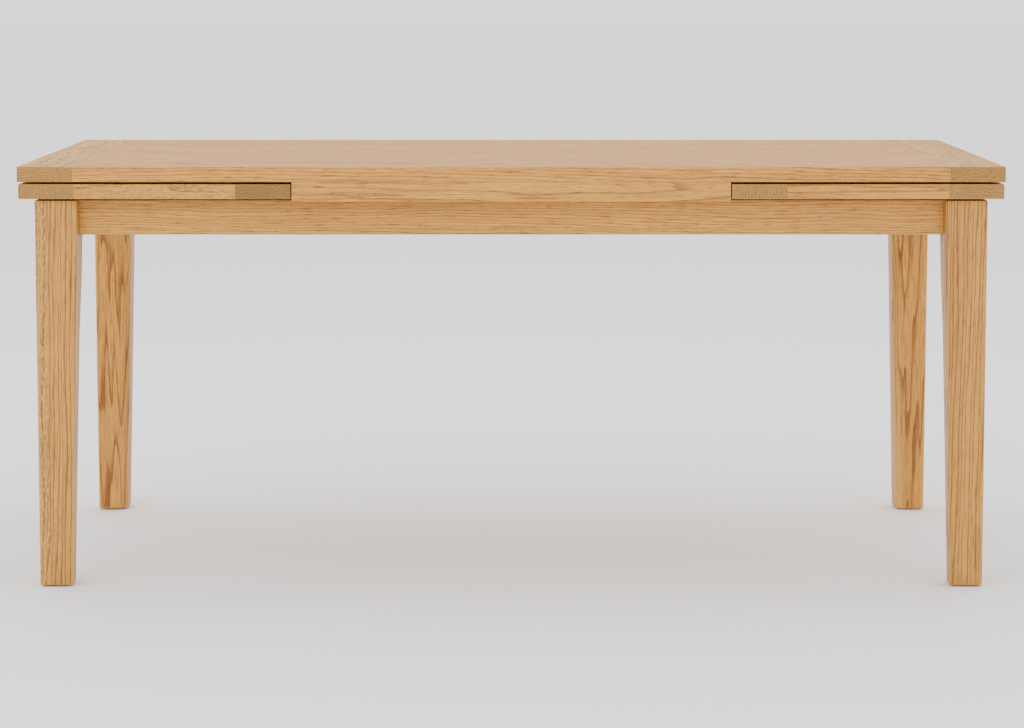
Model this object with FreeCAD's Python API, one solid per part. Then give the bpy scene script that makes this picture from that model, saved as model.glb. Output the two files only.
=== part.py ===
"""Extendable dining table: a draw-leaf table in solid oak.

A fixed centre board sits on the frame.  A loose top lies over it, and one leaf waits
under each end of the top.  Each leaf rides on two tapered bearers, called lopers, that
run through notches in the end rail and under the centre board.

Frame: +X along the table, +Y towards the back, +Z up, origin on the floor at the centre.
All sizes are in millimetres.
"""
import FreeCAD, Part
import math
import os
from FreeCAD import Vector

# Overall sizes
TABLE_LENGTH = 1800.0
TABLE_WIDTH = 900.0
TABLE_HEIGHT = 778.0

# Panels
TOP_THICKNESS = 28.0
LEAF_THICKNESS = 27.0
LEAF_GAP = 4.0              # air between the top and a stored leaf
CENTRE_BOARD_LENGTH = 800.0
CENTRE_BOARD_THICKNESS = 35.5
LEAF_INSET = 2.0            # leaf's outer edge behind the end of the top
PANEL_GAP = 2.0             # leaf's inner edge to the centre board
JOIN_GAP = 0.5              # drawn leaf's inner edge to the end of the top
BREADBOARD_WIDTH = 100.0
PLANK_COUNT = 5
TONGUE_LENGTH = 15.0
TONGUE_THICKNESS = 8.0
GLUE_CLEARANCE = 0.1        # groove and mortise clearance on each side

# Legs and rails
LEG_TOP_SIZE = 77.0
LEG_FOOT_SIZE = 60.0
LEG_INSET_X = 30.0          # leg's outer face behind the end of the top
LEG_INSET_Y = 11.0          # leg's outer face behind the front edge
LEG_CLEARANCE = 3.5         # leg's top below a stored leaf
LEG_EDGE_RADIUS = 4.0
LEG_INNER_RADIUS = 20.0     # rounding of the leg's inner edge
LEG_ROUNDING_START = 57.0   # below the apron, where the inner rounding starts to grow
LEG_ROUNDING_LENGTH = 150.0
FOOT_CHAMFER = 4.0
GLIDE_THICKNESS = 2.0
GLIDE_RADIUS = 18.0
RAIL_HEIGHT = 63.5
RAIL_THICKNESS = 26.0
RAIL_RECESS = 27.0          # rail's face behind the leg's outer face
TENON_LENGTH = 30.0
TENON_THICKNESS = 10.0
TENON_SHOULDER = 8.0

# Lopers
LOPER_WIDTH = 30.0
LOPER_OUTER_DEPTH = 12.0
LOPER_INNER_DEPTH = 60.0
LOPER_END_INSET = 38.0      # loper's outer end behind the leaf's outer edge
LOPER_LENGTH = 1110.0
LOPER_Y = 250.0             # the left leaf's lopers from the centre line
LOPER_PITCH = 36.0          # the right leaf's lopers run this much nearer the centre line
LOPER_CLEARANCE = 0.3       # under the centre board and above the notch floor
NOTCH_CLEARANCE = 1.5       # beside a loper in its notch

# Stops, guides and pegs
STOP_RADIUS = 6.0
STOP_REACH = 12.0           # stop dowel beyond the loper's side
STOP_DEPTH = 30.0           # stop dowel's axis below the leaf
STOP_CLEARANCE = 0.5
BATTEN_WIDTH = 20.0
BATTEN_DEPTH = 40.0
BATTEN_CLEARANCE = 2.0
BATTEN_LENGTH = 780.0
PIVOT_RADIUS = 5.0
PIVOT_CLEARANCE = 0.05
PEG_RADIUS = 8.0
PEG_RISE = 18.0
PEG_DEPTH = 20.0
PEG_CLEARANCE = 0.5
PEG_X = 300.0

# Fastenings
BLOCK_GAP = 4.0             # corner block's face beyond the leg's inner edge, along a rail
BLOCK_WIDTH = 40.0          # along a rail
BLOCK_HEIGHT = 50.0
BLOCK_DROP = 6.0            # block's top below the rail's top
BOLT_RADIUS = 4.0
BOLT_BITE = 24.0            # hanger bolt's length in the leg
BOLT_PROUD = 15.0           # hanger bolt's end beyond the block
BOLT_HOLE_CLEARANCE = 0.5
WASHER_RADIUS = 11.0
WASHER_THICKNESS = 2.0
NUT_FLATS = 13.0
NUT_THICKNESS = 6.5
SCREW_RADIUS = 2.5
SCREW_HEAD_RADIUS = 5.0
SCREW_HEAD_HEIGHT = 3.0
SCREW_BITE = 16.0           # screw's length in the piece that it holds
RAIL_SCREW_BITE = 30.0

# Levels, from the floor up
TOP_UNDERSIDE = TABLE_HEIGHT - TOP_THICKNESS
BOARD_UNDERSIDE = TOP_UNDERSIDE - CENTRE_BOARD_THICKNESS
LEAF_TOP = TOP_UNDERSIDE - LEAF_GAP
LEAF_UNDERSIDE = LEAF_TOP - LEAF_THICKNESS
LEG_TOP = LEAF_UNDERSIDE - LEG_CLEARANCE
RAIL_TOP = BOARD_UNDERSIDE
RAIL_BOTTOM = RAIL_TOP - RAIL_HEIGHT

# Plan, on the +X and +Y side
HALF_LENGTH = TABLE_LENGTH / 2
HALF_WIDTH = TABLE_WIDTH / 2
HALF_BOARD = CENTRE_BOARD_LENGTH / 2
LEG_OUT_X = HALF_LENGTH - LEG_INSET_X
LEG_OUT_Y = HALF_WIDTH - LEG_INSET_Y
LEG_IN_X = LEG_OUT_X - LEG_TOP_SIZE
LEG_IN_Y = LEG_OUT_Y - LEG_TOP_SIZE
RAIL_OUT_X = LEG_OUT_X - RAIL_RECESS
RAIL_IN_X = RAIL_OUT_X - RAIL_THICKNESS
RAIL_OUT_Y = LEG_OUT_Y - RAIL_RECESS
RAIL_IN_Y = RAIL_OUT_Y - RAIL_THICKNESS
BLOCK_NEAR = (RAIL_IN_X - LEG_IN_X) + (RAIL_IN_Y - LEG_IN_Y) + BLOCK_GAP
BLOCK_FAR = BLOCK_NEAR + BLOCK_WIDTH
LEAF_OUT_X = HALF_LENGTH - LEAF_INSET
LEAF_IN_X = HALF_BOARD + PANEL_GAP
PLANK_WIDTH = TABLE_WIDTH / PLANK_COUNT

# Draw: the leaf goes out by TRAVEL and climbs by RISE to lie flush with the top
TRAVEL = HALF_LENGTH + JOIN_GAP - LEAF_IN_X
RISE = TOP_THICKNESS + LEAF_GAP
SLOPE = RISE / TRAVEL
DRAW = math.hypot(TRAVEL, RISE)
LOPER_OUT_X = LEAF_OUT_X - LOPER_END_INSET
NOTCH_DEPTH = LOPER_OUTER_DEPTH + SLOPE * (LOPER_OUT_X - RAIL_IN_X + DRAW) + LOPER_CLEARANCE
STOP_X = RAIL_IN_X - DRAW - STOP_CLEARANCE - STOP_RADIUS
STOP_Z = LEAF_UNDERSIDE - STOP_DEPTH
LEAF_SCREWS_X = (LOPER_OUT_X - 12.0, (LEAF_OUT_X + LEAF_IN_X) / 2, LEAF_IN_X + BREADBOARD_WIDTH / 2)

SIDES = (("left", -1), ("right", 1))
FACES = (("front", -1), ("back", 1))

nodes = {}


def box(x0, x1, y0, y1, z0, z1):
    """A box from two corners given in any order."""
    low = Vector(min(x0, x1), min(y0, y1), min(z0, z1))
    return Part.makeBox(abs(x1 - x0), abs(y1 - y0), abs(z1 - z0), low)


def cylinder(radius, start, end):
    """A round bar between two points."""
    run = end.sub(start)
    return Part.makeCylinder(radius, run.Length, start, run)


def screw(x, y, z_head, z_tip):
    """A vertical wood screw: its head's outer face at z_head and its tip at z_tip."""
    up = 1 if z_tip > z_head else -1
    neck = z_head + up * SCREW_HEAD_HEIGHT
    head = cylinder(SCREW_HEAD_RADIUS, Vector(x, y, z_head), Vector(x, y, neck))
    shank = cylinder(SCREW_RADIUS, Vector(x, y, neck), Vector(x, y, z_tip))
    return head.fuse(shank).removeSplitter()


def section(x_out, y_out, size, sx, sy, z, edge, inner):
    """A leg's outline at one height: square, with a larger radius at its inner corner."""
    corners = ((0, 0, edge), (size, 0, edge), (size, size, inner), (0, size, edge))
    edges = []
    ends = []
    for index, (across, deep, radius) in enumerate(corners):
        before = corners[index - 1]
        after = corners[(index + 1) % 4]
        point = Vector(across, deep, 0)
        to_before = Vector(before[0] - across, before[1] - deep, 0).normalize()
        to_after = Vector(after[0] - across, after[1] - deep, 0).normalize()
        middle = point + (to_before + to_after) * (radius * (1 - math.sqrt(0.5)))
        ends.append((point + to_before * radius, middle, point + to_after * radius))

    def placed(point):
        return Vector(x_out - sx * point.x, y_out - sy * point.y, z)

    for index, (start, middle, end) in enumerate(ends):
        following = ends[(index + 1) % 4][0]
        edges.append(Part.Arc(placed(start), placed(middle), placed(end)).toShape())
        edges.append(Part.LineSegment(placed(end), placed(following)).toShape())
    return Part.Wire(edges)


def leg(sx, sy):
    """A leg with upright outer faces and tapered inner faces."""
    rounding_start = RAIL_BOTTOM - LEG_ROUNDING_START
    rounding_end = rounding_start - LEG_ROUNDING_LENGTH
    foot = GLIDE_THICKNESS
    taper_length = RAIL_BOTTOM - foot

    def size_at(z):
        return LEG_FOOT_SIZE + (LEG_TOP_SIZE - LEG_FOOT_SIZE) * (z - foot) / taper_length

    def outline(z, inner):
        return section(sx * LEG_OUT_X, sy * LEG_OUT_Y, size_at(z), sx, sy, z, LEG_EDGE_RADIUS, inner)

    head = section(sx * LEG_OUT_X, sy * LEG_OUT_Y, LEG_TOP_SIZE, sx, sy, LEG_TOP,
                   LEG_EDGE_RADIUS, LEG_EDGE_RADIUS)
    shoulder = outline(RAIL_BOTTOM, LEG_EDGE_RADIUS)
    swell = outline(rounding_start, LEG_EDGE_RADIUS)
    round_full = outline(rounding_end, LEG_INNER_RADIUS)
    ankle = outline(foot + FOOT_CHAMFER, LEG_INNER_RADIUS)
    inset = FOOT_CHAMFER
    sole = section(sx * (LEG_OUT_X - inset), sy * (LEG_OUT_Y - inset), LEG_FOOT_SIZE - 2 * inset,
                   sx, sy, foot, LEG_EDGE_RADIUS, LEG_INNER_RADIUS - inset)
    return Part.makeLoft([head, shoulder, swell, round_full, ankle, sole], True, True)


def corner_point(sx, sy, along_x, along_y, z):
    """A point measured inwards from the corner where two rails' inner faces meet."""
    return Vector(sx * (RAIL_IN_X - along_x), sy * (RAIL_IN_Y - along_y), z)


def corner_block(sx, sy):
    """A brace across the corner, behind the leg."""
    z = RAIL_TOP - BLOCK_DROP - BLOCK_HEIGHT
    plan = ((BLOCK_NEAR, 0), (BLOCK_FAR, 0), (0, BLOCK_FAR), (0, BLOCK_NEAR), (BLOCK_NEAR, 0))
    outline = Part.makePolygon([corner_point(sx, sy, a, b, z) for a, b in plan])
    return Part.Face(outline).extrude(Vector(0, 0, BLOCK_HEIGHT))


def diagonal_bar(sx, sy, radius, start, end):
    """A round bar along the corner's diagonal, from one distance to another."""
    z = RAIL_TOP - BLOCK_DROP - BLOCK_HEIGHT / 2
    a = start * math.sqrt(0.5)
    b = end * math.sqrt(0.5)
    return cylinder(radius, corner_point(sx, sy, a, a, z), corner_point(sx, sy, b, b, z))


def nut(sx, sy, start):
    """A hexagon nut on the hanger bolt."""
    along = Vector(-sx, -sy, 0).normalize()
    side = Vector(0, 0, 1)
    across = along.cross(side)
    blank = diagonal_bar(sx, sy, NUT_FLATS, start, start + NUT_THICKNESS)
    centre = blank.BoundBox.Center
    hexagon = []
    for step in range(7):
        turn = math.radians(60 * step)
        reach = NUT_FLATS / 2 / math.cos(math.radians(30))
        offset = side * (reach * math.cos(turn)) + across * (reach * math.sin(turn))
        hexagon.append(centre + offset - along * (NUT_THICKNESS / 2))
    return Part.Face(Part.makePolygon(hexagon)).extrude(along * NUT_THICKNESS)


def plank_rows():
    """Each plank's number and its two edges across the table."""
    for index in range(PLANK_COUNT):
        y0 = -HALF_WIDTH + index * PLANK_WIDTH
        yield index + 1, y0, y0 + PLANK_WIDTH


def add_panel(name, x0, x1, z0, z1):
    """Planks along X between two breadboard ends, joined by tongues in grooves."""
    low = min(x0, x1)
    high = max(x0, x1)
    field_low = low + BREADBOARD_WIDTH
    field_high = high - BREADBOARD_WIDTH
    middle = (z0 + z1) / 2
    half_tongue = TONGUE_THICKNESS / 2
    half_groove = half_tongue + GLUE_CLEARANCE
    groove_end = TONGUE_LENGTH + GLUE_CLEARANCE
    for number, y0, y1 in plank_rows():
        stop0 = y0 + (BREADBOARD_WIDTH / 4 if number == 1 else 0)
        stop1 = y1 - (BREADBOARD_WIDTH / 4 if number == PLANK_COUNT else 0)
        plank = box(field_low, field_high, y0, y1, z0, z1)
        tongue = box(field_low - TONGUE_LENGTH, field_high + TONGUE_LENGTH, stop0, stop1,
                     middle - half_tongue, middle + half_tongue)
        nodes[f"{name}_plank_{number}"] = plank.fuse(tongue).removeSplitter()
    groove_y = HALF_WIDTH - BREADBOARD_WIDTH / 4 + GLUE_CLEARANCE
    for end, edge, field, way in (("left", low, field_low, -1), ("right", high, field_high, 1)):
        board = box(edge, field, -HALF_WIDTH, HALF_WIDTH, z0, z1)
        groove = box(field, field + way * groove_end, -groove_y, groove_y,
                     middle - half_groove, middle + half_groove)
        nodes[f"{name}_{end}_breadboard"] = board.cut(groove)


def loper(sx, y):
    """A bearer that is thin at its outer end and slopes down under the centre board."""
    z = LEAF_UNDERSIDE
    deep_x = LOPER_OUT_X - (LOPER_INNER_DEPTH - LOPER_OUTER_DEPTH) / SLOPE
    inner_x = LOPER_OUT_X - LOPER_LENGTH
    step_x = LEAF_IN_X + PANEL_GAP
    step_z = BOARD_UNDERSIDE - LOPER_CLEARANCE
    profile = ((LOPER_OUT_X, z), (LOPER_OUT_X, z - LOPER_OUTER_DEPTH), (deep_x, z - LOPER_INNER_DEPTH),
               (inner_x, z - LOPER_INNER_DEPTH), (inner_x, step_z - RISE), (step_x - DRAW, step_z - RISE),
               (step_x, step_z), (step_x, z), (LOPER_OUT_X, z))
    side = y - LOPER_WIDTH / 2
    outline = Part.makePolygon([Vector(sx * x, side, height) for x, height in profile])
    return Part.Face(outline).extrude(Vector(0, LOPER_WIDTH, 0))


def loper_row(side):
    """A leaf's loper distance from the centre line, and which way its stops reach."""
    if side == "left":
        return LOPER_Y, 1
    return LOPER_Y - LOPER_PITCH, -1


def loper_depth(x):
    """The loper's depth below the leaf at a distance from the centre."""
    return LOPER_OUTER_DEPTH + SLOPE * (LOPER_OUT_X - x)


# Legs, aprons and end rails, with tenons in mortises
for face, sy in FACES:
    for side, sx in SIDES:
        nodes[f"{face}_{side}_leg"] = leg(sx, sy)

tenon_z0 = RAIL_BOTTOM + TENON_SHOULDER
tenon_z1 = RAIL_TOP - TENON_SHOULDER
for face, sy in FACES:
    y0 = RAIL_OUT_Y - TENON_SHOULDER
    y1 = y0 - TENON_THICKNESS
    reach = LEG_IN_X + TENON_LENGTH
    rail = box(-LEG_IN_X, LEG_IN_X, sy * RAIL_IN_Y, sy * RAIL_OUT_Y, RAIL_BOTTOM, RAIL_TOP)
    tenon = box(-reach, reach, sy * y0, sy * y1, tenon_z0, tenon_z1)
    nodes[f"{face}_apron"] = rail.fuse(tenon).removeSplitter()
    for side, sx in SIDES:
        mortise = box(sx * (LEG_IN_X - 1), sx * (reach + GLUE_CLEARANCE), sy * (y0 + GLUE_CLEARANCE),
                      sy * (y1 - GLUE_CLEARANCE), tenon_z0 - GLUE_CLEARANCE, tenon_z1 + GLUE_CLEARANCE)
        nodes[f"{face}_{side}_leg"] = nodes[f"{face}_{side}_leg"].cut(mortise)

for side, sx in SIDES:
    x0 = RAIL_OUT_X - TENON_SHOULDER
    x1 = x0 - TENON_THICKNESS
    reach = LEG_IN_Y + TENON_LENGTH
    rail = box(sx * RAIL_IN_X, sx * RAIL_OUT_X, -LEG_IN_Y, LEG_IN_Y, RAIL_BOTTOM, RAIL_TOP)
    tenon = box(sx * x0, sx * x1, -reach, reach, tenon_z0, tenon_z1)
    rail = rail.fuse(tenon).removeSplitter()
    row_y, way = loper_row(side)
    half_notch = LOPER_WIDTH / 2 + NOTCH_CLEARANCE
    for face, sy in FACES:
        notch = box(sx * (RAIL_IN_X - 1), sx * (RAIL_OUT_X + 1), sy * row_y - half_notch,
                    sy * row_y + half_notch, LEAF_UNDERSIDE - NOTCH_DEPTH, RAIL_TOP + 1)
        rail = rail.cut(notch)
        mortise = box(sx * (x0 + GLUE_CLEARANCE), sx * (x1 - GLUE_CLEARANCE), sy * (LEG_IN_Y - 1),
                      sy * (reach + GLUE_CLEARANCE), tenon_z0 - GLUE_CLEARANCE, tenon_z1 + GLUE_CLEARANCE)
        nodes[f"{face}_{side}_leg"] = nodes[f"{face}_{side}_leg"].cut(mortise)
    nodes[f"{side}_end_rail"] = rail

# Corner blocks, with a hanger bolt, washer and nut that draw each leg up
bolts = []
washers = []
nuts = []
glides = []
block_face = BLOCK_FAR * math.sqrt(0.5)
bolt_end = block_face + BOLT_PROUD
bolt_start = (BLOCK_NEAR - BLOCK_GAP) * math.sqrt(0.5) - BOLT_BITE
for face, sy in FACES:
    for side, sx in SIDES:
        bolt = diagonal_bar(sx, sy, BOLT_RADIUS, bolt_start, bolt_end)
        hole = diagonal_bar(sx, sy, BOLT_RADIUS + BOLT_HOLE_CLEARANCE, bolt_start, bolt_end)
        washer_end = block_face + WASHER_THICKNESS
        washer = diagonal_bar(sx, sy, WASHER_RADIUS, block_face, washer_end)
        nodes[f"{face}_{side}_leg"] = nodes[f"{face}_{side}_leg"].cut(bolt)
        nodes[f"{face}_{side}_corner_block"] = corner_block(sx, sy).cut(hole)
        bolts.append(bolt)
        washers.append(washer.cut(hole))
        nuts.append(nut(sx, sy, washer_end).cut(bolt))
        centre = Vector(sx * (LEG_OUT_X - LEG_FOOT_SIZE / 2), sy * (LEG_OUT_Y - LEG_FOOT_SIZE / 2), 0)
        glides.append(Part.makeCylinder(GLIDE_RADIUS, GLIDE_THICKNESS, centre))
nodes["hanger_bolts"] = Part.makeCompound(bolts)
nodes["hanger_bolt_washers"] = Part.makeCompound(washers)
nodes["hanger_bolt_nuts"] = Part.makeCompound(nuts)
nodes["foot_glides"] = Part.makeCompound(glides)

# Centre board on the aprons, with screws from above and locating pegs for the loose top
centre_board = box(-HALF_BOARD, HALF_BOARD, -HALF_WIDTH, HALF_WIDTH, BOARD_UNDERSIDE, TOP_UNDERSIDE)
board_screws = []
for face, sy in FACES:
    y = sy * (RAIL_OUT_Y + RAIL_IN_Y) / 2
    for step in (-1.5, -0.5, 0.5, 1.5):
        item = screw(step * HALF_BOARD / 2, y, TOP_UNDERSIDE, BOARD_UNDERSIDE - RAIL_SCREW_BITE)
        board_screws.append(item)
        centre_board = centre_board.cut(item)
        nodes[f"{face}_apron"] = nodes[f"{face}_apron"].cut(item)
nodes["centre_board_screws"] = Part.makeCompound(board_screws)

add_panel("top", -HALF_LENGTH, HALF_LENGTH, TOP_UNDERSIDE, TABLE_HEIGHT)
pegs = []
for plank in (2, PLANK_COUNT - 1):
    y = -HALF_WIDTH + (plank - 0.5) * PLANK_WIDTH
    for sx in (-1, 1):
        foot = Vector(sx * PEG_X, y, TOP_UNDERSIDE - PEG_DEPTH)
        head = Vector(sx * PEG_X, y, TOP_UNDERSIDE + PEG_RISE)
        peg = cylinder(PEG_RADIUS, foot, head)
        pegs.append(peg)
        centre_board = centre_board.cut(peg)
        room = cylinder(PEG_RADIUS + PEG_CLEARANCE, foot, head + Vector(0, 0, 2 * PEG_CLEARANCE))
        nodes[f"top_plank_{plank}"] = nodes[f"top_plank_{plank}"].cut(room)
nodes["locating_pegs"] = Part.makeCompound(pegs)

# Leaves on their lopers
for side, sx in SIDES:
    row_y, way = loper_row(side)
    add_panel(f"{side}_leaf", sx * LEAF_IN_X, sx * LEAF_OUT_X, LEAF_UNDERSIDE, LEAF_TOP)
    screws = []
    stops = []
    pivots = []
    for face, sy in FACES:
        y = sy * row_y
        bearer = loper(sx, y)
        for x in LEAF_SCREWS_X:
            head_z = LEAF_UNDERSIDE - loper_depth(x) + SCREW_HEAD_HEIGHT
            item = screw(sx * x, y, head_z, LEAF_UNDERSIDE + SCREW_BITE)
            screws.append(item)
            mouth = cylinder(SCREW_HEAD_RADIUS, Vector(sx * x, y, head_z - LOPER_INNER_DEPTH),
                             Vector(sx * x, y, head_z))
            bearer = bearer.cut(item).cut(mouth)
            for name in [n for n in nodes if n.startswith(f"{side}_leaf_")]:
                if nodes[name].BoundBox.isInside(Vector(sx * x, y, LEAF_UNDERSIDE + SCREW_BITE / 2)):
                    nodes[name] = nodes[name].cut(item)
        stop_start = Vector(sx * STOP_X, y - sy * way * LOPER_WIDTH / 2, STOP_Z)
        stop_end = Vector(sx * STOP_X, y + sy * way * (LOPER_WIDTH / 2 + STOP_REACH), STOP_Z)
        stop = cylinder(STOP_RADIUS, stop_start, stop_end)
        stops.append(stop)
        socket = cylinder(STOP_RADIUS + PIVOT_CLEARANCE, stop_start, stop_end)
        nodes[f"{side}_leaf_{face}_loper"] = bearer.cut(socket)

        # A guide batten beside each loper, under the centre board
        near = row_y + way * (LOPER_WIDTH / 2 + STOP_REACH + BATTEN_CLEARANCE)
        far = near + way * BATTEN_WIDTH
        batten = box(-BATTEN_LENGTH / 2, BATTEN_LENGTH / 2, sy * near, sy * far,
                     BOARD_UNDERSIDE - BATTEN_DEPTH, BOARD_UNDERSIDE)
        pivot_start = Vector(sx * STOP_X, sy * near, STOP_Z)
        pivot_end = Vector(sx * STOP_X, sy * far, STOP_Z)
        pivots.append(cylinder(PIVOT_RADIUS, pivot_start, pivot_end))
        batten = batten.cut(cylinder(PIVOT_RADIUS + PIVOT_CLEARANCE, pivot_start, pivot_end))
        nodes[f"{face}_guide_batten_{side}"] = batten
    nodes[f"{side}_leaf_screws"] = Part.makeCompound(screws)
    nodes[f"{side}_stop_dowels"] = Part.makeCompound(stops)
    nodes[f"{side}_pivot_dowels"] = Part.makeCompound(pivots)

# Screws that hold the guide battens to the centre board
batten_screws = []
for side, sx in SIDES:
    for face, sy in FACES:
        name = f"{face}_guide_batten_{side}"
        y = nodes[name].BoundBox.Center.y
        for step in (-0.5, 0.0, 0.5):
            item = screw(step * BATTEN_LENGTH / 2, y, BOARD_UNDERSIDE - BATTEN_DEPTH,
                         BOARD_UNDERSIDE + SCREW_BITE)
            batten_screws.append(item)
            nodes[name] = nodes[name].cut(item)
            centre_board = centre_board.cut(item)
nodes["guide_batten_screws"] = Part.makeCompound(batten_screws)
nodes["centre_board"] = centre_board

os.makedirs("parts", exist_ok=True)
for name, shape in nodes.items():
    shape.exportStep(f"parts/{name}.step")
print(len(nodes), "nodes; draw", round(DRAW, 3), "rise", RISE, "angle",
      round(math.degrees(math.atan(SLOPE)), 4), "stop", STOP_X, STOP_Z)
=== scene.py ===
"""Looks of the extending oak dining table: boards with eased edges, lofted legs and oak that is
cut from solid, so that rings, pores, ray flecks and end grain run true through each piece."""
import math
import random

import bmesh
import bpy
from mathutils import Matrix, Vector


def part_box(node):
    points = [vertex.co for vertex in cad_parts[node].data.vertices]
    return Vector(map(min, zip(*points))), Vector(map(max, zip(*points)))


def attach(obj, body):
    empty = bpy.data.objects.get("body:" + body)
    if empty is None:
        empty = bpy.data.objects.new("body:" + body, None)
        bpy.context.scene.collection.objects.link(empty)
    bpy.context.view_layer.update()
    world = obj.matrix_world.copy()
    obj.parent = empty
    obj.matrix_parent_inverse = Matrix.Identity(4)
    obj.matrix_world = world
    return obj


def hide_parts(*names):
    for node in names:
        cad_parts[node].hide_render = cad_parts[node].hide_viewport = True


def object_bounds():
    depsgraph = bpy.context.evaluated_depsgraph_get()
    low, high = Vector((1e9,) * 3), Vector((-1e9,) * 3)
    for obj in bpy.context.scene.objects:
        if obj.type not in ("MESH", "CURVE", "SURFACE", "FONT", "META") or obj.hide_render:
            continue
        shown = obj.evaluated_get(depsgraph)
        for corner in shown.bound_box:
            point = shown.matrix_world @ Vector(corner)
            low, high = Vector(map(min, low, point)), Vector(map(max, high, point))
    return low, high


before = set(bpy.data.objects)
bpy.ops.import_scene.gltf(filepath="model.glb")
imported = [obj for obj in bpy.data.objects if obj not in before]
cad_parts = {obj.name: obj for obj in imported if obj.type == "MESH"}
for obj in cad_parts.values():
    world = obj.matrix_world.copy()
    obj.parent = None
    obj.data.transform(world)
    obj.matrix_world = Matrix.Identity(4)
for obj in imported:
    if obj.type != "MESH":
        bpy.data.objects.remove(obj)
cad_low, cad_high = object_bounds()

MM = 0.001
BOARD_EDGE = 1.6 * MM       # eased outer edges of the panels
JOINT_EDGE = 0.25 * MM      # edges that meet another board
RAIL_EDGE = 1.2 * MM
LEG_EDGE = 3.5 * MM
LEG_INNER = 20 * MM         # full rounding of a leg's inner edge
LEG_FOOT = 60 * MM
FOOT_EDGE = 5 * MM
LEG_HEAD_EDGE = 1.5 * MM
ROUNDING_START = 0.057      # below the apron
ROUNDING_LENGTH = 0.145
CORNER_STEPS = 6            # facets round each corner of a leg's outline
EDGE_STEPS = 5              # rings round a leg's foot
HEAD_STEPS = 4              # rings round a leg's head
SHAFT_STEPS = 44            # rings up a leg's taper
SHARP = math.radians(40)

LENS = 108.28               # of a 36 mm sensor
CAMERA_SHIFT = -0.08
CAMERA_SIDE = 0.0014
CAMERA_DISTANCE = 5.593     # from the table's front
CAMERA_HEIGHT = 1.1325
CAMERA_PITCH = 5.77         # degrees down
DAYLIGHT = 1.7
FLOOR_REACH = 60.0

X, Y, Z = Vector((1, 0, 0)), Vector((0, 1, 0)), Vector((0, 0, 1))


# Shader expressions

class Value:
    """A node's output that can be added, scaled and compared like a number."""

    def __init__(self, finish, socket):
        self.finish = finish
        self.socket = socket

    def _math(self, operation, first, second):
        return self.finish.math(operation, first, second)

    def __add__(self, other):
        return self._math("ADD", self, other)

    __radd__ = __add__

    def __sub__(self, other):
        return self._math("SUBTRACT", self, other)

    def __rsub__(self, other):
        return self._math("SUBTRACT", other, self)

    def __mul__(self, other):
        return self._math("MULTIPLY", self, other)

    __rmul__ = __mul__

    def __truediv__(self, other):
        return self._math("DIVIDE", self, other)


class Finish:
    """One material, built from expressions on its nodes."""

    def __init__(self, name):
        self.material = bpy.data.materials.new(name)
        self.material.use_nodes = True
        self.tree = self.material.node_tree
        self.shader = self.tree.nodes["Principled BSDF"]

    def node(self, kind, settings=None, inputs=None, output=0):
        made = self.tree.nodes.new(kind)
        for key, value in (settings or {}).items():
            setattr(made, key, value)
        for key, value in (inputs or {}).items():
            self.feed(made.inputs[key], value)
        return Value(self, made.outputs[output])

    def feed(self, socket, value):
        if isinstance(value, Value):
            self.tree.links.new(value.socket, socket)
        else:
            socket.default_value = value

    def math(self, operation, first, second=0.0, clamp=False):
        settings = {"operation": operation, "use_clamp": clamp}
        return self.node("ShaderNodeMath", settings, {0: first, 1: second})

    def ramp_up(self, value, low, high):
        """0 below low, 1 above high."""
        settings = {"interpolation_type": "SMOOTHSTEP"}
        inputs = {"Value": value, "From Min": low, "From Max": high}
        return self.node("ShaderNodeMapRange", settings, inputs)

    def noise(self, place, scale, detail=2.0, rough=0.5):
        """Noise on a place that is first stretched by scale: waves to the metre along its three axes."""
        stretched = self.node("ShaderNodeVectorMath", {"operation": "MULTIPLY"}, {0: place, 1: scale})
        inputs = {"Vector": stretched, "Scale": 1.0, "Detail": detail, "Roughness": rough}
        return self.node("ShaderNodeTexNoise", None, inputs)

    def mix(self, factor, first, second):
        return self.node("ShaderNodeMix", {"data_type": "RGBA"}, {0: factor, 6: first, 7: second}, 2)

    def attribute(self, name, output="Fac"):
        return self.node("ShaderNodeAttribute", {"attribute_name": name}, None, output)

    def parts(self, vector):
        split = self.node("ShaderNodeSeparateXYZ", None, {0: vector})
        return [Value(self, split.socket.node.outputs[i]) for i in range(3)]

    def surface(self, **sockets):
        for name, value in sockets.items():
            self.feed(self.shader.inputs[name.replace("_", " ")], value)

    def bump(self, height, distance, strength):
        inputs = {"Strength": strength, "Distance": distance, "Height": height}
        self.surface(Normal=self.node("ShaderNodeBump", None, inputs))


def rgb(red, green, blue):
    return (red, green, blue, 1.0)


# Oak: solid texture on "grain", whose first axis runs along the fibres

LIGHT_OAK = rgb(0.660, 0.310, 0.046)
DEEP_OAK = rgb(0.235, 0.080, 0.009)
PORE_BROWN = rgb(0.105, 0.040, 0.009)
RAY_CREAM = rgb(0.720, 0.410, 0.120)
END_BROWN = rgb(0.270, 0.155, 0.046)
WORN_OAK = rgb(0.680, 0.360, 0.095)
KNOT_BROWN = rgb(0.120, 0.045, 0.012)
RING = 5.2 * MM             # one year's growth
LEG_RING = 7.6 * MM
LEG_STRIP = 20.5 * MM       # glued strip along a leg's outer side


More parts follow.
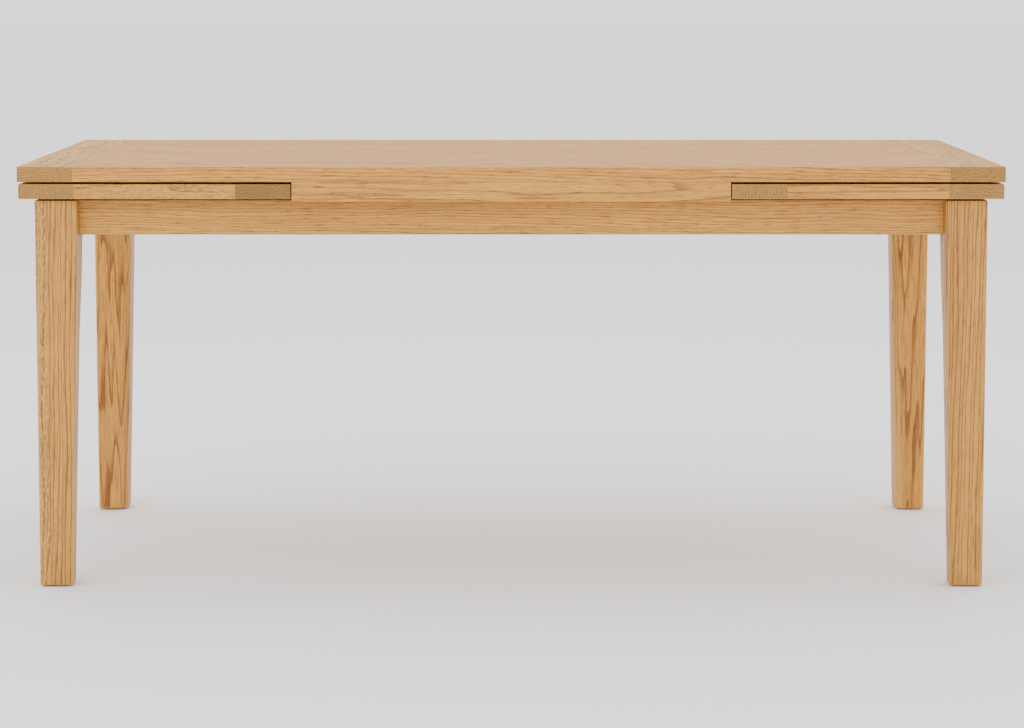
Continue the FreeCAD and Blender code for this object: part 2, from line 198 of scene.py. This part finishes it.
def oak(name, roughness=0.46, lamination=None, rawness=0.0, ring=RING, bite=0.62):
    """Oiled oak. A lamination is a glued strip along one edge, cut from another board; bite is how
    dark the early wood of each growth ring is."""
    f = Finish(name)
    grain = f.attribute("grain", "Vector")
    tone = f.attribute("tone")
    end = f.attribute("end")
    figure = f.attribute("figure")
    if lamination:
        strip = f.math("LESS_THAN", f.attribute("strip"), lamination)
        other_board = {0: strip * 0.31, 1: strip * 0.043, 2: strip * 0.19}
        shift = f.node("ShaderNodeCombineXYZ", None, other_board)
        grain = f.node("ShaderNodeVectorMath", {"operation": "ADD"}, {0: grain, 1: shift})
        figure = f.math("MAXIMUM", figure, strip)
    along, across, deep = f.parts(grain)

    wander = f.noise(grain, (1.6, 9.0, 9.0), 3.0) - 0.5
    waves = f.noise(grain, (6.0, 40.0, 40.0), 2.0) - 0.5
    radius = f.math("SQRT", across * across + deep * deep)
    rings = (radius + wander * 0.034 + waves * 0.0022 + along * 0.011) / ring
    uneven = f.noise(grain, (0.7, 70.0, 70.0), 1.0)
    phase = f.math("FRACT", rings + uneven * 1.9)
    early = 1 - f.ramp_up(phase, 0.0, 0.46)
    early = early * f.ramp_up(phase, 0.0, 0.07)

    vessels = f.noise(grain, (38.0, 430.0, 430.0), 2.0, 0.6)
    pores = f.ramp_up(vessels, 0.52, 0.63) * (0.42 + early * 0.58)
    fibres = f.noise(grain, (12.0, 400.0, 400.0), 3.0, 0.6)
    streaks = f.noise(grain, (1.4, 42.0, 42.0), 3.0, 0.55)
    clouds = f.noise(grain, (2.2, 8.0, 8.0), 2.0)
    slant = {0: along + (across + deep) * 1.4, 1: across, 2: deep}
    slanted = f.node("ShaderNodeCombineXYZ", None, slant)
    rays = f.noise(slanted, (105.0, 330.0, 330.0), 2.0, 0.55)
    flecks = f.ramp_up(rays, 0.51, 0.60) * figure * (1 - end)

    colour = f.mix(f.math("ADD", early * bite, streaks * 0.95 - 0.36, True), LIGHT_OAK, DEEP_OAK)
    colour = f.mix(f.ramp_up(clouds, 0.52, 0.80) * 0.30, colour, DEEP_OAK)
    colour = f.mix(f.ramp_up(fibres, 0.45, 0.66) * 0.40, colour, DEEP_OAK)
    colour = f.mix(end * 0.60, colour, END_BROWN)
    colour = f.mix(end * early * 0.38, colour, DEEP_OAK)
    colour = f.mix(pores * 0.74, colour, PORE_BROWN)
    colour = f.mix(flecks * 0.66, colour, RAY_CREAM)
    rubbed = f.attribute("edge") * f.ramp_up(clouds + fibres * 0.6, 0.62, 0.95)
    colour = f.mix(rubbed * 0.55, colour, WORN_OAK)
    spaced = f.node("ShaderNodeVectorMath", {"operation": "MULTIPLY"}, {0: grain, 1: (2.3, 7.0, 7.0)})
    knots = f.node("ShaderNodeTexVoronoi", {"feature": "F1"}, {"Vector": spaced, "Scale": 1.0})
    colour = f.mix((1 - f.ramp_up(knots, 0.012, 0.060)) * 0.75, colour, KNOT_BROWN)
    toned = {"Value": tone, "Saturation": 1.0 - 0.12 * rawness, "Color": colour}
    matt = roughness + pores * 0.16 + (fibres - 0.5) * 0.16 + end * 0.10 - rubbed * 0.10
    f.surface(Base_Color=f.node("ShaderNodeHueSaturation", None, toned), IOR=1.42, Roughness=matt)
    f.bump(1 - pores * 0.85 - early * 0.12 + fibres * 0.22 + flecks * 0.10, 0.00022, 0.75)
    return f.material


def turned_wood():
    """Pale beech of the dowels and pegs."""
    f = Finish("beech_dowel")
    grain = f.attribute("grain", "Vector")
    streaks = f.noise(grain, (12.0, 500.0, 500.0), 3.0)
    dashes = f.ramp_up(f.noise(grain, (150.0, 900.0, 900.0), 1.0), 0.62, 0.70)
    colour = f.mix(streaks, rgb(0.66, 0.45, 0.27), rgb(0.52, 0.33, 0.18))
    f.surface(Base_Color=f.mix(dashes * 0.5, colour, rgb(0.34, 0.19, 0.10)), Roughness=0.52 + streaks * 0.15)
    f.bump(streaks - dashes * 0.5, 0.0001, 0.6)
    return f.material


def zinc():
    """Bright zinc plate with the dull patches that plating has."""
    f = Finish("zinc_plate")
    place = f.node("ShaderNodeTexCoord", None, None, "Object")
    patches = f.noise(place, (260.0, 260.0, 260.0), 3.0)
    scuffs = f.noise(place, (2400.0, 300.0, 2400.0), 2.0)
    colour = f.mix(patches, rgb(0.66, 0.66, 0.63), rgb(0.50, 0.50, 0.49))
    f.surface(Base_Color=colour, Metallic=1.0, Roughness=0.26 + patches * 0.18 + scuffs * 0.08)
    f.bump(scuffs, 0.00004, 0.5)
    return f.material


def felt():
    """Pressed brown felt."""
    f = Finish("pressed_felt")
    place = f.node("ShaderNodeTexCoord", None, None, "Object")
    fibres = f.noise(place, (1900.0, 1900.0, 1900.0), 4.0, 0.7)
    tufts = f.noise(place, (420.0, 420.0, 420.0), 3.0)
    f.surface(Base_Color=f.mix(fibres, rgb(0.16, 0.12, 0.09), rgb(0.34, 0.27, 0.20)), Roughness=0.96,
              Sheen_Weight=0.4)
    f.bump(fibres + tufts * 0.5, 0.0004, 0.9)
    return f.material


FINISHES = {
    "oak": oak("oiled_oak"),
    "oak_top": oak("oiled_oak_top", 0.58),
    "oak_leg": oak("laminated_oak", lamination=LEG_STRIP, ring=LEG_RING, bite=0.92),
    "inner_oak": oak("bare_oak", 0.66, rawness=1.0),
    "beech_dowel": turned_wood(),
    "zinc_steel": zinc(),
    "felt": felt(),
}


# Meshes

QUARTER_SAWN = 0.35         # share of boards sawn with the rings on edge
END_GRAIN = 0.8             # a face this square to the fibres shows end grain
EASED = 0.97                # a face less square than this to every axis is an eased edge
PLANK_FIGURE = 0.15         # ray figure, from 0 to 1
BREADBOARD_FIGURE = 0.5


def mark_grain(mesh, along, seed, tone=1.0, figure=0.0, quarter=None, strip=None):
    """Stores where each point lies in the log that its piece was cut from."""
    draw = random.Random(seed)
    side = Z if abs(along.z) < 0.5 else Y
    other = along.cross(side)
    start = draw.uniform(-3, 3)
    if quarter is None:
        quarter = draw.random() < QUARTER_SAWN
    far = draw.uniform(0.10, 0.17)
    near = draw.uniform(-0.03, 0.03)
    heart = (far, near) if quarter else (near, draw.choice((-1, 1)) * far)
    centre = sum((v.co for v in mesh.vertices), Vector()) / len(mesh.vertices)
    grain = mesh.attributes.new("grain", "FLOAT_VECTOR", "POINT")
    ends = mesh.attributes.new("end", "FLOAT", "FACE")
    for vertex, item in zip(mesh.vertices, grain.data):
        place = vertex.co - centre
        item.vector = (place.dot(along) + start, place.dot(other) + heart[0], place.dot(side) + heart[1])
    edges = mesh.attributes.new("edge", "FLOAT", "FACE")
    for polygon, item, worn in zip(mesh.polygons, ends.data, edges.data):
        item.value = 1.0 if abs(polygon.normal.dot(along)) > END_GRAIN else 0.0
        worn.value = 1.0 if max(abs(part) for part in polygon.normal) < EASED else 0.0
    for name, number in (("tone", tone), ("figure", figure)):
        held = mesh.attributes.new(name, "FLOAT", "POINT")
        held.data.foreach_set("value", [number] * len(mesh.vertices))
    if strip:
        held = mesh.attributes.new("strip", "FLOAT", "POINT")
        held.data.foreach_set("value", [strip(vertex.co) for vertex in mesh.vertices])


def place_piece(name, mesh, body, slot, material, *nodes):
    """Puts a finished mesh on its body in place of its CAD nodes."""
    made = bpy.data.objects.new(name, mesh)
    bpy.context.scene.collection.objects.link(made)
    mesh.materials.append(FINISHES[material])
    mesh.shade_smooth()
    mesh.set_sharp_from_angle(angle=SHARP)
    made.modifiers.new("even_shading", "WEIGHTED_NORMAL").keep_sharp = True
    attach(made, body)
    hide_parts(*nodes)


def board_mesh(name, low, high, eased, edge):
    """A board whose outer edges are eased by edge; eased(middle) says which edges are outer ones."""
    shape = bmesh.new()
    bmesh.ops.create_cube(shape, size=1.0)
    size = high - low
    for vertex in shape.verts:
        vertex.co = low + Vector((vertex.co[i] + 0.5) * size[i] for i in range(3))
    weight = shape.edges.layers.float.new("bevel_weight_edge")
    for line in shape.edges:
        middle = (line.verts[0].co + line.verts[1].co) / 2
        line[weight] = 1.0 if eased(middle) else JOINT_EDGE / edge
    mesh = bpy.data.meshes.new(name)
    shape.to_mesh(mesh)
    shape.free()
    holder = bpy.data.objects.new(name + "_blank", mesh)
    bpy.context.scene.collection.objects.link(holder)
    rounding = holder.modifiers.new("ease", "BEVEL")
    rounding.limit_method = "WEIGHT"
    rounding.width = edge
    rounding.segments = 4
    rounding.harden_normals = False
    bpy.context.view_layer.update()
    graph = bpy.context.evaluated_depsgraph_get()
    made = bpy.data.meshes.new_from_object(holder.evaluated_get(graph))
    made.name = name
    bpy.data.objects.remove(holder)
    spare = made.attributes.get("bevel_weight_edge")
    if spare:
        made.attributes.remove(spare)
    return made


def panel(body, finish, seed, left_tone, plank_tones, right_tone, front_figure):
    """The top or a leaf: planks along X between two breadboard ends, and the front plank's ray figure."""
    left_low, left_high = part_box(f"{body}_left_breadboard")
    right_low, right_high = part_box(f"{body}_right_breadboard")
    tiny = 0.5 * MM

    def outside(middle):
        ends = abs(middle.x - left_low.x) < tiny or abs(middle.x - right_high.x) < tiny
        faces = abs(middle.y - left_low.y) < tiny or abs(middle.y - left_high.y) < tiny
        return ends or faces

    planks = sorted(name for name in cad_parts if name.startswith(f"{body}_plank_"))
    for index, node in enumerate(planks):
        low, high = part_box(node)
        low.x = left_high.x
        high.x = right_low.x
        mesh = board_mesh(node + "_oak", low, high, outside, BOARD_EDGE)
        figure = front_figure if index == 0 else PLANK_FIGURE
        mark_grain(mesh, X, seed + index, plank_tones[index % 2], figure)
        place_piece(node + "_oak", mesh, body, finish, finish, node)
    for side, tone, board_seed in (("left", left_tone, seed + 54), ("right", right_tone, seed + 55)):
        node = f"{body}_{side}_breadboard"
        low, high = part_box(node)
        mesh = board_mesh(node + "_oak", low, high, outside, BOARD_EDGE)
        mark_grain(mesh, Y, board_seed, tone, BREADBOARD_FIGURE)
        place_piece(node + "_oak", mesh, body, finish, finish, node)


def outline(corner, inwards, size, edge, inner, z):
    """A leg's outline at one height, from its outer corner; inner is the radius of its inner edge."""
    points = []
    for across, deep, radius in ((0, 0, edge), (size, 0, edge), (size, size, inner), (0, size, edge)):
        sx = 1 if across == 0 else -1
        sy = 1 if deep == 0 else -1
        centre_x = across + sx * radius
        centre_y = deep + sy * radius
        first = {(0, 0): 180, (1, 0): 270, (1, 1): 0, (0, 1): 90}[(int(across > 0), int(deep > 0))]
        for step in range(CORNER_STEPS + 1):
            turn = math.radians(first + 90 * step / CORNER_STEPS)
            points.append(Vector((corner.x + inwards.x * (centre_x + radius * math.cos(turn)),
                                  corner.y + inwards.y * (centre_y + radius * math.sin(turn)), z)))
    return points


# Each leg's grain seed, tone, whether it is quarter sawn, and whether it has a glued strip
LEGS = {"front_left": (11, 0.90, True, True), "front_right": (61, 0.87, True, False),
        "back_left": (31, 1.04, False, False), "back_right": (47, 1.07, False, False)}
STRIP_LEG_FIGURE = 0.05


def leg(face, side):
    """A leg with upright outer faces and tapered inner faces; its inner edge rounds off lower down."""
    node = f"{face}_{side}_leg"
    low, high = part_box(node)
    apron_low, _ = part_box(f"{face}_apron")
    inwards = Vector((1 if side == "left" else -1, 1 if face == "front" else -1, 0))
    corner = Vector((low.x if side == "left" else high.x, low.y if face == "front" else high.y, 0))
    head = high.x - low.x
    taper = apron_low.z - low.z
    rounding = apron_low.z - ROUNDING_START

    def ring(z, inset=0.0):
        height = max(0.0, min(1.0, (z - low.z) / taper))
        size = LEG_FOOT + (head - LEG_FOOT) * height
        grown = max(0.0, min(1.0, (rounding - z) / ROUNDING_LENGTH))
        grown = grown * grown * (3 - 2 * grown)
        inner = LEG_EDGE + (LEG_INNER - LEG_EDGE) * grown
        start = corner + inwards * inset
        return outline(start, inwards, size - 2 * inset, max(LEG_EDGE - inset, MM), inner - inset, z)

    rings = []
    quarter = math.pi / 2
    for step in range(EDGE_STEPS + 1):
        turn = quarter * step / EDGE_STEPS
        rings.append(ring(low.z + FOOT_EDGE * (1 - math.cos(turn)), FOOT_EDGE * (1 - math.sin(turn))))
    for step in range(1, SHAFT_STEPS):
        rings.append(ring(low.z + FOOT_EDGE + (apron_low.z - low.z - FOOT_EDGE) * step / SHAFT_STEPS))
    rings.append(ring(apron_low.z))
    for step in range(HEAD_STEPS + 1):
        turn = quarter * step / HEAD_STEPS
        height = high.z - LEG_HEAD_EDGE * (1 - math.sin(turn))
        rings.append(ring(height, LEG_HEAD_EDGE * (1 - math.cos(turn))))
    shape = bmesh.new()
    loops = [[shape.verts.new(point) for point in loop] for loop in rings]
    for lower, upper in zip(loops, loops[1:]):
        for index in range(len(lower)):
            after = (index + 1) % len(lower)
            shape.faces.new((lower[index], lower[after], upper[after], upper[index]))
    shape.faces.new(loops[0])
    shape.faces.new(loops[-1])
    bmesh.ops.recalc_face_normals(shape, faces=shape.faces)
    mesh = bpy.data.meshes.new(node + "_oak")
    shape.to_mesh(mesh)
    shape.free()
    seed, tone, quarter_cut, laminated = LEGS[f"{face}_{side}"]
    figure = STRIP_LEG_FIGURE if laminated else 0.0
    mark_grain(mesh, Z, seed, tone, figure, quarter_cut,
               strip=lambda place: abs(place.x - corner.x) if laminated else 1.0)
    place_piece(node + "_oak", mesh, "frame", "oak", "oak_leg", node)


def rail(node, low, high, seed, tone, edge=RAIL_EDGE):
    """A straight rail or board along X, with every edge eased."""
    mesh = board_mesh(node + "_oak", low, high, lambda middle: True, edge)
    mark_grain(mesh, X, seed, tone)
    place_piece(node + "_oak", mesh, "frame", "oak", "oak", node)


def keep_node(node, material, along, seed, edge):
    """A CAD piece whose shape is right: it gets its finish and eased edges."""
    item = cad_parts[node]
    mark_grain(item.data, along, seed)
    item.data.materials.clear()
    item.data.materials.append(FINISHES[material])
    rounding = item.modifiers.new("ease", "BEVEL")
    rounding.limit_method = "ANGLE"
    rounding.angle_limit = SHARP
    rounding.width = edge
    rounding.segments = 2
    for polygon in item.data.polygons:
        polygon.use_smooth = True
    item.data.set_sharp_from_angle(angle=SHARP)


# CAD pieces that keep their shape: part of the name, finish, way of the grain and eased edge.
# The first row that fits is the one used.
KEPT = (("screws", "zinc_steel", Z, 0.3 * MM), ("hanger", "zinc_steel", Z, 0.3 * MM),
        ("end_rail", "oak", Y, RAIL_EDGE), ("loper", "oak", X, RAIL_EDGE),
        ("batten", "inner_oak", X, 0.6 * MM), ("corner_block", "inner_oak", Z, 0.6 * MM),
        ("dowels", "beech_dowel", Y, 0.5 * MM), ("locating_pegs", "beech_dowel", Z, 1.0 * MM),
        ("foot_glides", "felt", Z, 0.4 * MM))


def build_table():
    panel("top", "oak_top", 100, 0.97, (0.985, 1.02), 0.87, 0.10)
    panel("left_leaf", "oak", 200, 0.93, (0.86, 0.95), 0.66, 0.95)
    panel("right_leaf", "oak", 300, 0.90, (1.01, 1.0), 0.88, 0.05)
    for face, seed in (("front", 61), ("back", 62)):
        for side in ("left", "right"):
            leg(face, side)
        low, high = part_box(f"{face}_apron")
        low.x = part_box(f"{face}_left_leg")[1].x
        high.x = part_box(f"{face}_right_leg")[0].x
        rail(f"{face}_apron", low, high, seed, 1.0)
    low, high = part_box("centre_board")
    rail("centre_board", low, high, 71, 1.01, JOINT_EDGE * 2)
    for number, node in enumerate(sorted(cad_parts)):
        for part, material, along, edge in KEPT:
            if part in node:
                keep_node(node, material, along, number, edge)
                break


# Floor, light and camera

def studio():
    plane = bpy.data.meshes.new("studio_floor")
    corners = [(x * FLOOR_REACH, y * FLOOR_REACH, 0) for x, y in ((-1, -1), (1, -1), (1, 1), (-1, 1))]
    plane.from_pydata(corners, [], [(0, 1, 2, 3)])
    floor = bpy.data.objects.new("studio_floor", plane)
    bpy.context.scene.collection.objects.link(floor)
    paint = Finish("pale_floor")
    paint.surface(Base_Color=rgb(0.93, 0.93, 0.93), Roughness=0.9)
    plane.materials.append(paint.material)

    world = bpy.data.worlds.new("studio_light")
    bpy.context.scene.world = world
    world.use_nodes = True
    sky = world.node_tree.nodes["Background"]
    sky.inputs["Color"].default_value = rgb(1, 1, 1)
    sky.inputs["Strength"].default_value = DAYLIGHT

    lamps = (("key", (-2.6, -4.2, 3.4), 3.0, 60.0), ("fill", (3.2, -4.6, 2.2), 3.0, 25.0),
             ("overhead", (0.0, 1.6, 4.2), 4.0, 60.0))
    for name, place, size, power in lamps:
        data = bpy.data.lights.new(name, "AREA")
        data.size = size
        data.energy = power
        lamp = bpy.data.objects.new(name, data)
        lamp.location = place
        lamp.rotation_euler = (Vector((0, 0, 0.5)) - lamp.location).to_track_quat("-Z", "Y").to_euler()
        bpy.context.scene.collection.objects.link(lamp)


def camera():
    data = bpy.data.cameras.new("camera")
    data.sensor_width = 36.0
    data.lens = LENS
    data.shift_y = CAMERA_SHIFT
    data.clip_end = 200.0
    seen = bpy.data.objects.new("camera", data)
    seen.location = (CAMERA_SIDE, cad_low.y - CAMERA_DISTANCE, CAMERA_HEIGHT)
    seen.rotation_euler = (math.radians(90 - CAMERA_PITCH), 0, 0)
    bpy.context.scene.collection.objects.link(seen)
    bpy.context.scene.camera = seen


camera()
studio()
build_table()
